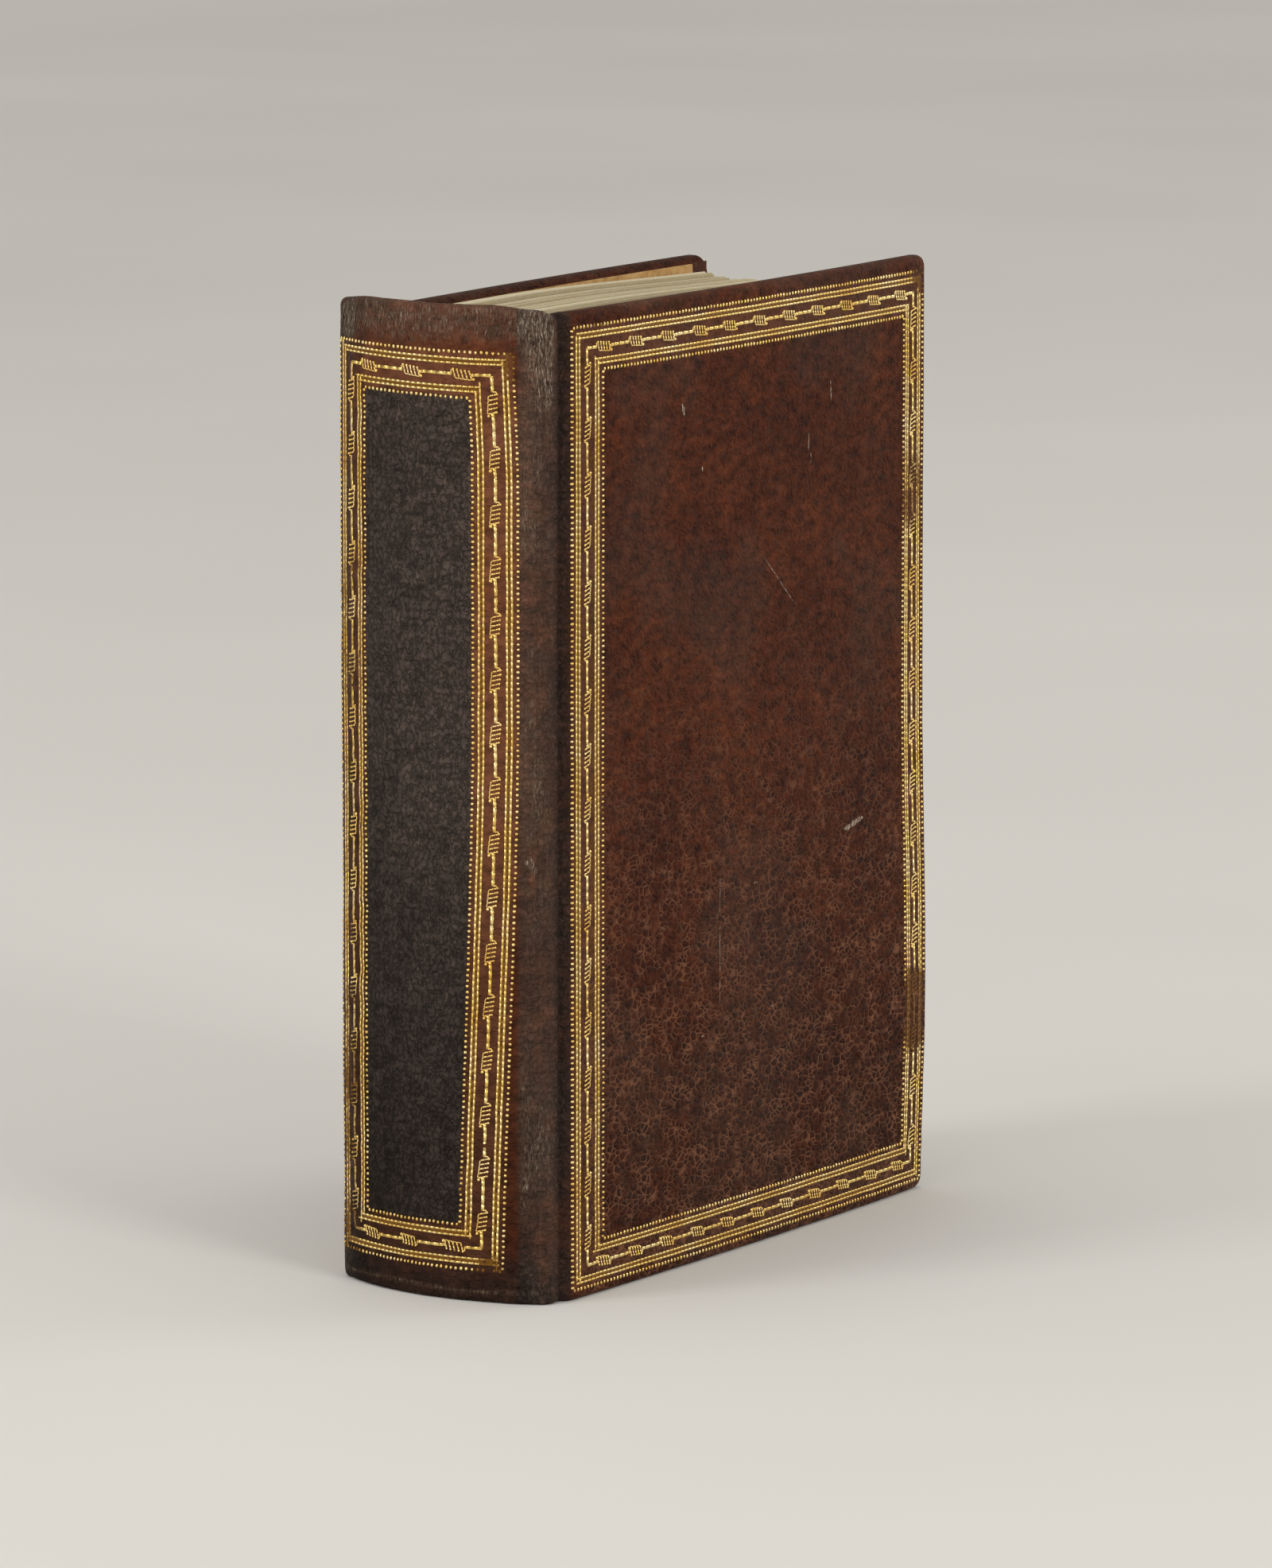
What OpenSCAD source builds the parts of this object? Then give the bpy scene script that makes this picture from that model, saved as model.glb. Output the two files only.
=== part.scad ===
// A closed leather-bound manuscript, standing upright on its tail.
// Spine toward -Y, front cover toward +X, fore-edge toward +Y, millimetres.
// The origin is at the middle of the footprint, at floor level.

/* [Boards] */
// Height of the front board in its leather
front_height = 200; // [160:1:260]
// Height of the back board in its leather, cut a little shorter
back_height = 197; // [160:0.5:260]
// From the crown of the spine to the fore-edge of the boards
book_depth = 145; // [115:1:190]
// Across the book at the long edges of the boards
book_thickness = 54; // [44:1:80]
// How far each board bows outward half-way along its width
board_bow = 1.5; // [0.6:0.1:3]
// How far each cover stands away from the leaves at rest, in degrees
cover_gape = 0.8; // [0:0.1:2]
// Thickness of the bare board
board_core = 2.6; // [2:0.1:5]

/* [Leather] */
// Thickness of the covering leather
leather = 0.8; // [0.6:0.1:1.2]
// Thickness of the leather pared thin where it is turned in
turn_in = 0.4; // [0.3:0.1:0.7]
// Width of the margin turned in at head, tail and fore-edge
turn_in_width = 13; // [8:1:20]
// Rounding of the leather over the board edges
edge_round = 1.4; // [1.3:0.1:2]

/* [Spine] */
// Radius of the rounded spine
spine_radius = 52; // [44:1:80]
// Radius of each shoulder beside the joint
shoulder_round = 3.5; // [3:0.1:4.5]
// How far the shoulders stay below the faces of the boards
shoulder_drop = 1.5; // [1:0.1:2.5]
// From the top of each shoulder to the line of the hinge
joint_reach = 1.4; // [1:0.1:1.6]
// How far the head cap rises above the front board
cap_rise = 1.5; // [0.5:0.1:3]
// Depth of the lip turned in at head and tail
cap_lip = 3; // [2.4:0.1:4]
// Rounding of the caps
cap_round = 2.2; // [1.4:0.1:3]
// Thickness of the lining on the back of the leaves
lining = 0.4; // [0.2:0.1:0.6]

/* [Leaves] */
// How far the front board stands above the leaves at the head
head_overhang = 5.4; // [2:0.1:8]
// How far the leaves stand clear of the floor at the tail
tail_overhang = 3.5; // [2.5:0.1:6]
// How far the boards stand out beyond the leaves at the fore-edge
fore_overhang = 3.5; // [2:0.1:6]
// Depth of the hollow fore-edge
fore_edge_hollow = 12; // [4:0.5:18]
// Thickness of the sheet pasted inside each board
pastedown = 0.2; // [0.1:0.05:0.4]
// Margin of leather left above and below each pasted sheet
pastedown_margin = 1.6; // [1.5:0.1:6]
// Margin of leather left beside each pasted sheet at the fore-edge
pastedown_fore = 7; // [2:0.5:12]

/* [Sewing] */
// Height of each flat thong sunk in the back of the leaves
support_height = 5; // [3:0.5:8]
// Thickness of each thong
support_depth = 1.4; // [0.8:0.1:2]
// Distance between thongs
support_pitch = 38; // [25:1:42]
// Diameter of the head and tail bands
endband_diameter = 2.2; // [1.4:0.1:2.4]

/* [Gilding] */
// Width of the whole tooled border
gilt_border = 9; // [7:0.5:11]
// Distance from the border to the side edges of a board
gilt_margin = 1.5; // [1.4:0.1:4]
// Distance from the border to the head of a board
gilt_head = 3.2; // [1.4:0.1:6]
// Distance from the border to the tail of a board
gilt_tail = 2.2; // [1.4:0.1:6]
// Width of a tooled line
gilt_line = 0.4; // [0.3:0.05:0.6]
// Width of a row of beads
gilt_beads = 0.55; // [0.4:0.05:0.7]
// Distance from one coil of the roll to the next
coil_pitch = 11.2; // [9:0.1:14]
// Width of the frame on the spine, measured across it
spine_frame_width = 43; // [30:1:44]
// How far the frame on the spine lies toward the back cover
spine_frame_shift = 2.6; // [0:0.1:2.8]
// Distance from the frame on the spine to the head and the tail
spine_frame_inset = 7; // [4:0.5:15]
// Thickness of the gold
gilt_relief = 0.08; // [0.06:0.01:0.15]

/* [Fits] */
// Space between each cover and the leaves or the spine
clearance = 0.4; // [0.35:0.05:0.6]
// Layer of paste between pieces that are glued together
paste = 0.05; // [0.03:0.01:0.1]

/* [Hidden] */
$fn = 180;
y_crown = -book_depth / 2;
y_fore = book_depth / 2;
spine_height = front_height + cap_rise;
spine_axis_y = y_crown + spine_radius;
shoulder_x = book_thickness / 2 - shoulder_drop - shoulder_round;
shoulder_reach = spine_radius - shoulder_round;
shoulder_angle = asin(shoulder_x / shoulder_reach);
shoulder_y = spine_axis_y - shoulder_reach * cos(shoulder_angle);
hinge_x = book_thickness / 2 - leather;
hinge_y = shoulder_y + joint_reach;
spine_end_y = hinge_y - clearance / 2;
cover_y = hinge_y + clearance / 2;
cover_width = y_fore - cover_y;
cover_mid_y = (y_fore + cover_y) / 2;
bow_radius = pow(cover_width / 2, 2) / (2 * board_bow) + board_bow / 2;
bow_axis_x = book_thickness / 2 + board_bow - bow_radius;
bow_sweep = 2 * asin((cover_width / 2 + 6) / bow_radius);
bow_facets = round(4 * bow_radius);
round_face_x = bow_axis_x + sqrt(pow(bow_radius, 2) - pow(cover_width / 2 - edge_round, 2));
core_out = bow_radius - leather;
core_in = core_out - board_core;
turn_face = core_in - turn_in;
paste_face = turn_face - paste - pastedown;
block_side = paste_face - clearance;
block_top = front_height - head_overhang;
block_height = block_top - tail_overhang;
block_back = leather + lining + 2 * paste;
leaf_edge_y = y_fore - fore_overhang;
leaf_half = book_thickness / 2 - (bow_radius - block_side);
hollow_radius = pow(leaf_half, 2) / (2 * fore_edge_hollow) + fore_edge_hollow / 2;
hollow_y = leaf_edge_y - fore_edge_hollow + hollow_radius;
back_radius = spine_radius - block_back;
band_radius = back_radius - endband_diameter / 2 - 0.2;
band_lift = endband_diameter * 0.42;
band_angle = 2 * (shoulder_angle - 3);
support_count = 4;
big = 2 * (front_height + book_depth);
// The border's lines, from the outer bead row to the inner one
line_steps = [0.14, 0.24, 0.76, 0.86];
// Shape of one coil of the roll
coil_bars = 3;
coil_step = 1.5;
coil_slant = 0.3;
coil_reach = gilt_border * 0.12;
coil_stem = coil_bars / 2 * coil_step + 0.9;
frame_turn = asin(spine_frame_shift / spine_radius);

// A solid turned about the spine's own axis, spread evenly either side of the crown
module about_spine(angle) {
    translate([0, spine_axis_y, 0])
        rotate([0, 0, -90 - angle / 2])
            rotate_extrude(angle = angle) children();
}

// The back of the book in plan, drawn in from the leather's outer face by inset
module back_plan(inset) {
    intersection() {
        union() {
            intersection() {
                translate([0, spine_axis_y])
                    circle(spine_radius - inset);
                polygon([[0, spine_axis_y],
                    [-big * sin(shoulder_angle), spine_axis_y - big * cos(shoulder_angle)],
                    [big * sin(shoulder_angle), spine_axis_y - big * cos(shoulder_angle)]]);
            }
            translate([shoulder_x, shoulder_y])
                circle(shoulder_round - inset);
            translate([-shoulder_x, shoulder_y])
                circle(shoulder_round - inset);
        }
        translate([-big / 2, spine_end_y - big])
            square([big, big]);
    }
}

// Part of a bowed plate between two radii, on the front side
module plate(r_in, r_out, z_low, z_high, y_low, y_high) {
    translate([0, 0, z_low])
        linear_extrude(height = z_high - z_low)
            intersection() {
                translate([bow_axis_x, cover_mid_y])
                    difference() {
                        circle(r_out, $fn = bow_facets);
                        circle(r_in, $fn = bow_facets);
                    }
                translate([0, y_low])
                    square([book_thickness, y_high - y_low]);
            }
}

// The whole cover as one bowed plate, rounded along its outer edges
module cover_form(height) {
    difference() {
        intersection() {
            translate([bow_axis_x, cover_mid_y, 0])
                rotate([0, 0, -bow_sweep / 2])
                    rotate_extrude(angle = bow_sweep, $fn = bow_facets) {
                        translate([turn_face, 0])
                            square([bow_radius - turn_face - edge_round, height]);
                        translate([turn_face, edge_round])
                            square([bow_radius - turn_face, height - 2 * edge_round]);
                        translate([bow_radius - edge_round, edge_round])
                            circle(edge_round, $fn = 48);
                        translate([bow_radius - edge_round, height - edge_round])
                            circle(edge_round, $fn = 48);
                    }
            translate([0, cover_y, -1])
                cube([book_thickness, cover_width, height + 2]);
        }
        edge_cutter(y_fore - edge_round, 0, height);
        edge_cutter(cover_y + edge_round, 1, height);
    }
}

// Rounds an upright edge of a cover
module edge_cutter(y, flip, height) {
    translate([round_face_x - edge_round, y, -1])
        mirror([0, flip, 0])
            linear_extrude(height = height + 2)
                difference() {
                    square(edge_round * 2);
                    circle(edge_round);
                }
}

// A cover in its place at rest, swung a little outward about the hinge
module front_side() {
    translate([hinge_x, hinge_y, 0])
        rotate([0, 0, -cover_gape])
            translate([-hinge_x, -hinge_y, 0])
                children();
}

module back_side() {
    mirror([1, 0, 0])
        front_side() children();
}

module board(height) {
    edge = leather + paste;
    plate(core_in + paste, core_out - paste, edge, height - edge, cover_y + edge, y_fore - edge);
    plate(turn_face, core_in + paste, turn_in_width + paste, height - turn_in_width - paste,
        cover_y + edge, y_fore - turn_in_width - paste);
}

module cover_leather(height) {
    difference() {
        cover_form(height);
        plate(core_in, core_out, leather, height - leather, cover_y + leather, y_fore - leather);
        plate(turn_face - 1, core_in + 0.01, turn_in_width, height - turn_in_width,
            cover_y + leather, y_fore - turn_in_width);
    }
}

module pasted_sheet(height) {
    plate(paste_face, turn_face - paste, pastedown_margin, height - pastedown_margin,
        cover_y + leather, y_fore - pastedown_fore);
}

// One closed line of the frame, drawn in by a distance from the outer bead row
module frame_line(width, height, inset, line) {
    difference() {
        translate([inset - line / 2, inset - line / 2])
            square([width - 2 * inset + line, height - 2 * inset + line]);
        translate([inset + line / 2, inset + line / 2])
            square([width - 2 * inset - line, height - 2 * inset - line]);
    }
}

function unit(v) = v / norm(v);
function left(v) = [-v[1], v[0]];

// The point at distance w to the left of b on the path from a through b to c
function beside(a, b, c, w) =
    let (n = left(unit(b - a)), m = left(unit(c - b)))
    b + w * (n + m) / (1 + n * m);

// One end of a slanted bar of a coil, the upper one when side is 1
function bar_end(x, i, side) =
    [x + (i + 0.5 - coil_bars / 2) * coil_step - side * coil_slant, side * coil_reach];

// Points along one coil of the roll, running toward +X from stem to stem
function coil_path(x) = concat(
    [[x - coil_stem, 0]],
    [for (i = [0:coil_bars - 1]) each
        [bar_end(x, i, i % 2 == 0 ? 1 : -1), bar_end(x, i, i % 2 == 0 ? -1 : 1)]],
    [[x + coil_stem, 0]]);

// A row of coils joined into one stroke, as long as a whole number of them
module coil_row(length) {
    count = floor(length / coil_pitch);
    half = count / 2 * coil_pitch;
    middle = [for (i = [0:count - 1]) each coil_path((i + 0.5) * coil_pitch - half)];
    path = concat([[-half - 1, 0], [-half, 0]], middle, [[half, 0], [half + 1, 0]]);
    n = len(path) - 2;
    w = gilt_line / 2;
    polygon(concat(
        [for (i = [1:n]) beside(path[i - 1], path[i], path[i + 1], w)],
        [for (i = [0:n - 1]) beside(path[n - i - 1], path[n - i], path[n - i + 1], -w)]));
}

// The whole tooled frame, its outer bead row running round [0, 0] to [width, height]
module frame_plan(width, height) {
    frame_line(width, height, 0, gilt_beads);
    for (step = line_steps)
        frame_line(width, height, gilt_border * step, gilt_line);
    frame_line(width, height, gilt_border, gilt_beads);
    for (y = [gilt_border / 2, height - gilt_border / 2])
        translate([width / 2, y])
            coil_row(width - 1.6 * gilt_border);
    for (x = [gilt_border / 2, width - gilt_border / 2])
        translate([x, height / 2])
            rotate(-90)
                coil_row(height - 1.6 * gilt_border);
}

module cover_gilding(height) {
    intersection() {
        plate(bow_radius + paste, bow_radius + paste + gilt_relief, 0, height, cover_y, y_fore);
        translate([0, cover_y + edge_round + gilt_margin - 1, gilt_tail])
            rotate([90, 0, 90])
                linear_extrude(height = book_thickness)
                    frame_plan(cover_width - 2 * (edge_round + gilt_margin - 1),
                        height - gilt_tail - gilt_head);
    }
}

module text_block() {
    color([0.87, 0.81, 0.68])
        difference() {
            translate([0, 0, tail_overhang])
                linear_extrude(height = block_height)
                    difference() {
                        union() {
                            back_plan(block_back);
                            intersection() {
                                translate([bow_axis_x, cover_mid_y])
                                    circle(block_side, $fn = bow_facets);
                                translate([-bow_axis_x, cover_mid_y])
                                    circle(block_side, $fn = bow_facets);
                                translate([-book_thickness, shoulder_y])
                                    square([2 * book_thickness, leaf_edge_y - shoulder_y]);
                            }
                        }
                        translate([0, hollow_y])
                            circle(hollow_radius);
                    }
            for (i = [1:support_count])
                support(i, 0, 1);
        }
}

// A thong in the back of the leaves, or the groove for it, which reaches out past the back
module support(i, inset, reach) {
    z = (tail_overhang + block_top) / 2 + (i - (support_count + 1) / 2) * support_pitch;
    about_spine(band_angle - 4 * inset)
        translate([back_radius - support_depth + inset, z - support_height / 2 + inset])
            square([support_depth + reach - inset, support_height - 2 * inset]);
}

module sewing_support(i) {
    color([0.80, 0.76, 0.66])
        support(i, paste, 0);
}

module spine_lining() {
    color([0.66, 0.58, 0.46])
        translate([0, 0, tail_overhang])
            linear_extrude(height = block_height)
                difference() {
                    back_plan(leather + paste);
                    back_plan(block_back - paste);
                }
}

// An endband resting on the leaves, its lower side flattened against them
module endband() {
    about_spine(band_angle)
        intersection() {
            translate([band_radius, band_lift])
                circle(endband_diameter / 2);
            translate([band_radius - endband_diameter, 0])
                square([2 * endband_diameter, 2 * endband_diameter]);
        }
}

module headband() {
    color([0.45, 0.46, 0.32])
        translate([0, 0, block_top])
            endband();
}

module tailband() {
    color([0.45, 0.46, 0.32])
        translate([0, 0, tail_overhang])
            mirror([0, 0, 1])
                endband();
}

// Half a section of the spine leather, rounded over head and tail
module spine_section(radius, low, high, round) {
    translate([0, low])
        square([radius - round, high - low]);
    translate([0, low + round])
        square([radius, high - low - 2 * round]);
    translate([radius - round, low + round])
        circle(round);
    translate([radius - round, high - round])
        circle(round);
}

module spine_form(inset) {
    intersection() {
        translate([0, 0, inset])
            linear_extrude(height = spine_height - 2 * inset)
                back_plan(inset);
        about_spine(120)
            spine_section(spine_radius - inset, inset, spine_height - inset, cap_round - inset);
    }
}

module spine_leather() {
    color([0.22, 0.13, 0.11])
        difference() {
            spine_form(0);
            spine_form(leather);
            translate([0, spine_axis_y, -1])
                cylinder(r = spine_radius - cap_lip, h = spine_height + 2);
            translate([-big / 2, spine_end_y - 0.01, -1])
                cube([big, big, spine_height + 2]);
        }
}

module spine_gilding() {
    frame_height = spine_height - 2 * spine_frame_inset;
    color([0.80, 0.62, 0.25])
        intersection() {
            translate([0, spine_axis_y, 0])
                difference() {
                    cylinder(r = spine_radius + paste + gilt_relief, h = spine_height);
                    translate([0, 0, -1])
                        cylinder(r = spine_radius + paste, h = spine_height + 2);
                }
            translate([0, spine_axis_y, 0])
                rotate([0, 0, -frame_turn])
                    translate([-spine_frame_width / 2, 0, spine_frame_inset])
                        rotate([90, 0, 0])
                            linear_extrude(height = spine_radius * 2)
                                frame_plan(spine_frame_width, frame_height);
        }
}

module front_board() {
    color([0.62, 0.52, 0.40])
        front_side()
            board(front_height);
}

module front_leather() {
    color([0.30, 0.15, 0.11])
        front_side()
            cover_leather(front_height);
}

module front_pastedown() {
    color([0.78, 0.64, 0.44])
        front_side()
            pasted_sheet(front_height);
}

module front_gilding() {
    color([0.80, 0.62, 0.25])
        front_side()
            cover_gilding(front_height);
}

module back_board() {
    color([0.62, 0.52, 0.40])
        back_side()
            board(back_height);
}

module back_leather() {
    color([0.30, 0.15, 0.11])
        back_side()
            cover_leather(back_height);
}

module back_pastedown() {
    color([0.78, 0.64, 0.44])
        back_side()
            pasted_sheet(back_height);
}

module back_gilding() {
    color([0.80, 0.62, 0.25])
        back_side()
            cover_gilding(back_height);
}

text_block();
spine_lining();
sewing_support(1);  // sewing_support_1
sewing_support(2);  // sewing_support_2
sewing_support(3);  // sewing_support_3
sewing_support(4);  // sewing_support_4
headband();
tailband();
spine_leather();
spine_gilding();
front_board();
front_leather();
front_pastedown();
front_gilding();
back_board();
back_leather();
back_pastedown();
back_gilding();
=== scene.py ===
import bpy
import bmesh
import math
import random
import numpy as np
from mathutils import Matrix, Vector, noise


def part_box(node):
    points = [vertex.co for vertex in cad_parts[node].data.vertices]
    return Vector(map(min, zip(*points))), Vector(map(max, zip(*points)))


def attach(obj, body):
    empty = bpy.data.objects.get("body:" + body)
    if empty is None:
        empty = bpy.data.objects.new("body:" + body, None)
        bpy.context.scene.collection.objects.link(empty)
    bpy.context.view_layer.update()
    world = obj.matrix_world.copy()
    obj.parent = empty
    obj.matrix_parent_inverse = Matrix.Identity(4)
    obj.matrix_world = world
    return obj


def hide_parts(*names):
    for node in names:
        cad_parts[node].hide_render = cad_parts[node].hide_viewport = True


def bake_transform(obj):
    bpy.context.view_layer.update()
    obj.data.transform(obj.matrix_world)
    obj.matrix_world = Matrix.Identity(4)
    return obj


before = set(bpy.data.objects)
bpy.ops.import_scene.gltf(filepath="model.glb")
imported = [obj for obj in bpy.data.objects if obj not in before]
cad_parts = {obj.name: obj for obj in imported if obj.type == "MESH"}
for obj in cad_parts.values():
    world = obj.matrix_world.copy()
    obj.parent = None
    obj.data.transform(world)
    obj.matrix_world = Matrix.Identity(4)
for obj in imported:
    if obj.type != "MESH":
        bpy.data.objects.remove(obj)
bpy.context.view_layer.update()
chance = random.Random(17)
MM = 0.001

# Heights of the book in millimetres, from the solids
front_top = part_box("front_leather")[1].z / MM
back_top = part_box("back_leather")[1].z / MM
cap_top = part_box("spine_leather")[1].z / MM
leaf_low, leaf_top = (corner.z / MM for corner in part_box("text_block"))

# Sizes and places in millimetres that the solids have too
crown_y = -72.5
spine_radius = 52.0
spine_axis_y = crown_y + spine_radius
shoulder_radius = 3.5
shoulder_x, shoulder_y = 22.0, -63.723
shoulder_angle = math.radians(26.975)
board_x = 27.0
bow = 1.5
board_mid_y = 5.188
board_half = 67.312
bow_radius = (board_half ** 2 + bow ** 2) / (2 * bow)
cover_thickness = 3.8
edge_round = 1.4
turn_in_width = 13.0
turn_in_thickness = 0.4
fore_edge_y = 72.5
hinge_x, hinge_y = 26.2, -62.323
cover_gape = math.radians(0.8)
sheet_front_y, sheet_margin = 65.5, 1.6

# Finer sizes that the scene adds: the groove of the joint, the fall of the caps, the boards under the skin
groove_angle, groove_pull = math.radians(118), 1.3
rise_y, rise_slope, rise_pull = -59.9, 0.04, 3.0
joint_thickness = 2.4
joint_start_y, joint_end_y = hinge_y - 1.2, hinge_y + 2.0
cap_fall = 0.9
skin_depth, board_depth, sheet_depths = 0.9, 3.4, (3.79, 4.0)
board_back_y, pared_end_y = -61.2, -58.0
front_corner, back_corner = 1.2, 3.0
front_board_corner, back_board_corner, sheet_corner = 2.4, 4.0, 0.3

# The front board's fore-edge has warped outward in its lower half
fore_bulge, bulge_z, bulge_spread, bulge_start_y = 1.3, 48.0, 42.0, 15.0

# The leaves lie in gatherings a little apart, and the block has sunk toward its hollow fore-edge
leaf_thickness, leaf_air, leaves_in_gathering, gathering_gap = 0.38, 0.03, 8, 0.16
back_half, block_half, back_radius = 22.4, 22.55, 48.6
leaf_front_y, hollow_depth = 69.0, 12.4
risen, sunk = 1.4, 2.0

# Places along the skin, in millimetres from the crown of the spine
spine_side = 26.0
cover_start, cover_full = 33.0, 40.0

# The gilt frame: its width, how the sides of a cover's frame differ, and the rows from its edge inward
gilt_border = 9.0
joint_border, fore_border = 1.14, 0.87
fillet_rows = ((1.25, 0.56), (2.2, 0.52), (6.8, 0.52), (7.75, 0.56))
ribbon_rows, ribbon_width, ribbon_wear = (1.72, 7.28), 1.15, 0.72
coil_row = 4.4
frame_joint_y, frame_fore_y, frame_low = -60.2, 70.6, 2.2
front_frame_top, back_frame_top = 196.8, 194.3
gold_sunk = -0.06


def bowed_x(y):
    """How far out the bowed face of a board lies at y."""
    return board_x + bow - bow_radius + np.sqrt(bow_radius ** 2 - (y - board_mid_y) ** 2)


def skin_plan():
    """The leather's outline from the spine's crown to the fore-edge: arc length and (x, y)."""
    crown = np.linspace(0, shoulder_angle, 60)
    arc = np.stack([spine_radius * np.sin(crown), spine_axis_y - spine_radius * np.cos(crown)], 1)
    turn = np.linspace(shoulder_angle, groove_angle, 40)[1:]
    shoulder = np.stack([shoulder_x + shoulder_radius * np.sin(turn),
                         shoulder_y - shoulder_radius * np.cos(turn)], 1)
    # The groove is one smooth curve from the shoulder's end to the board's face
    start, finish = shoulder[-1], np.array([bowed_x(rise_y), rise_y])
    way_in = np.array([math.cos(groove_angle), math.sin(groove_angle)]) * groove_pull
    way_out = np.array([rise_slope, 1.0]) * rise_pull
    s = np.linspace(0, 1, 40)[1:, None]
    groove = ((2 * s ** 3 - 3 * s ** 2 + 1) * start + (s ** 3 - 2 * s ** 2 + s) * way_in
              + (3 * s ** 2 - 2 * s ** 3) * finish + (s ** 3 - s ** 2) * way_out)
    across = np.linspace(rise_y, fore_edge_y - edge_round, 200)[1:]
    face = np.stack([bowed_x(across), across], 1)
    points = np.concatenate([arc, shoulder, groove, face])
    steps = np.hypot(*np.diff(points, axis=0).T)
    return np.concatenate([[0], np.cumsum(steps)]), points


plan_length, plan_points = skin_plan()
skin_end = plan_length[-1]
seam_u = spine_radius * shoulder_angle - 0.3


def face_u(y):
    """Place along the leather of a point of the cover's face at y."""
    return np.interp(y, plan_points[:, 1], plan_length)


board_u = float(face_u(rise_y))


def plan_at(u):
    """Point and outward normal of the leather's outline at u; u is below 0 on the back cover's side."""
    def at(length):
        return np.stack([np.interp(length, plan_length, plan_points[:, k]) for k in (0, 1)], -1)

    side, reach, step = np.where(u < 0, -1.0, 1.0), np.abs(u), 0.4
    here = at(reach)
    ahead = at(np.minimum(reach + step, skin_end))
    behind = at(np.maximum(reach - step, 0))
    behind[..., 0] = np.where(reach < step, -np.abs(behind[..., 0]), behind[..., 0])
    way = ahead - behind
    way /= np.linalg.norm(way, axis=-1, keepdims=True)
    point = np.stack([side * here[..., 0], here[..., 1]], -1)
    normal = np.stack([side * way[..., 1], -way[..., 0]], -1)
    return point, normal


def blotch(u, v, across, along, seed, octaves=1):
    """Smooth noise from about -1 to 1, its spots about across by along millimetres, another for each seed."""
    flat = [noise.fractal(Vector((a / across, b / along, seed)), 0.9, 2.1, octaves)
            if octaves > 1 else noise.noise(Vector((a / across, b / along, seed)))
            for a, b in zip(np.ravel(u), np.ravel(v))]
    return np.array(flat).reshape(np.shape(u))


def ease(low, high, x):
    """0 below low, 1 above high, a smooth rise between."""
    t = np.clip((x - low) / (high - low), 0, 1)
    return t * t * (3 - 2 * t)


def band(low, high, soft, x):
    """1 between low and high, fading over soft either side."""
    return ease(low - soft, low + soft, x) * (1 - ease(high - soft, high + soft, x))


def ridge(x, middle, width):
    """1 on a line, fading over width either side."""
    return np.exp(-((x - middle) / width) ** 2)


def spot(u, v, centre, size):
    """1 at a centre, fading to 0 at its edge."""
    far = np.hypot((u - centre[0]) / size[0], (v - centre[1]) / size[1])
    return 1 - ease(0.3, 1.0, far)


def on_cover(u):
    """1 on a board's face, 0 on the spine and in the joint."""
    return ease(cover_start, cover_full, np.abs(u))


def gaped(xyz, side):
    """Points of a cover swung outward about its hinge as it rests; the joint turns part of the way."""
    turn = cover_gape * ease(joint_start_y, joint_end_y, xyz[..., 1])
    low_half = ridge(xyz[..., 2], bulge_z, bulge_spread)
    bulge = fore_bulge * (side > 0) * ease(bulge_start_y, fore_edge_y, xyz[..., 1]) * low_half
    across, along = xyz[..., 0] + bulge - side * hinge_x, xyz[..., 1] - hinge_y
    swung = xyz.copy()
    swung[..., 0] = side * hinge_x + across * np.cos(turn) + side * along * np.sin(turn)
    swung[..., 1] = hinge_y - side * across * np.sin(turn) + along * np.cos(turn)
    return swung


def cover_frame(top):
    """The corners of a cover's outer bead row as (u, v), from the tail on the spine side, going up first."""
    joint, fore = face_u(frame_joint_y), face_u(frame_fore_y)
    return [(joint, frame_low), (joint, top), (fore, top), (fore, frame_low)]


front_frame = cover_frame(front_frame_top)
back_frame = [(-u, v) for u, v in cover_frame(back_frame_top)]
back_frame = back_frame[3:1:-1] + back_frame[1::-1]
spine_frame = [(-25.4, 6.7), (-25.4, 192.4), (19.1, 192.0), (19.1, 6.7)]


def spine_lean(u, v):
    """How far the tooler's hand strayed on the spine: the frame's front side bellies out, then leans in."""
    stray = -2.9 + 3.7 * ease(-20, 125, v) - 1.1 * ease(165, 200, v)
    return (stray * ease(-16, 8, u) + 0.4 * ease(10, 19, u)) * (np.abs(u) < spine_side)


def border_share(u):
    """How wide the frame's side at u is beside its plain width: wider at a joint, narrower at a fore-edge."""
    if abs(u) < spine_side:
        return 1.0
    return joint_border if abs(u) < cover_full else fore_border


def inset(corners, step):
    """The corners of a frame drawn step millimetres inside another."""
    (a, b), (c, d), (e, f), (g, h) = corners
    left, right = step * border_share(a), step * border_share(g)
    return [(a + left, b + step), (c + left, d - step), (e - right, f - step), (g - right, h + step)]


def inside_frame(u, v, corners, soft):
    """1 inside a frame, 0 outside it."""
    left, low = corners[0]
    high, right = corners[1][1], corners[2][0]
    return band(low, high, soft, v) * band(left, right, soft, u - spine_lean(u, v))


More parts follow.
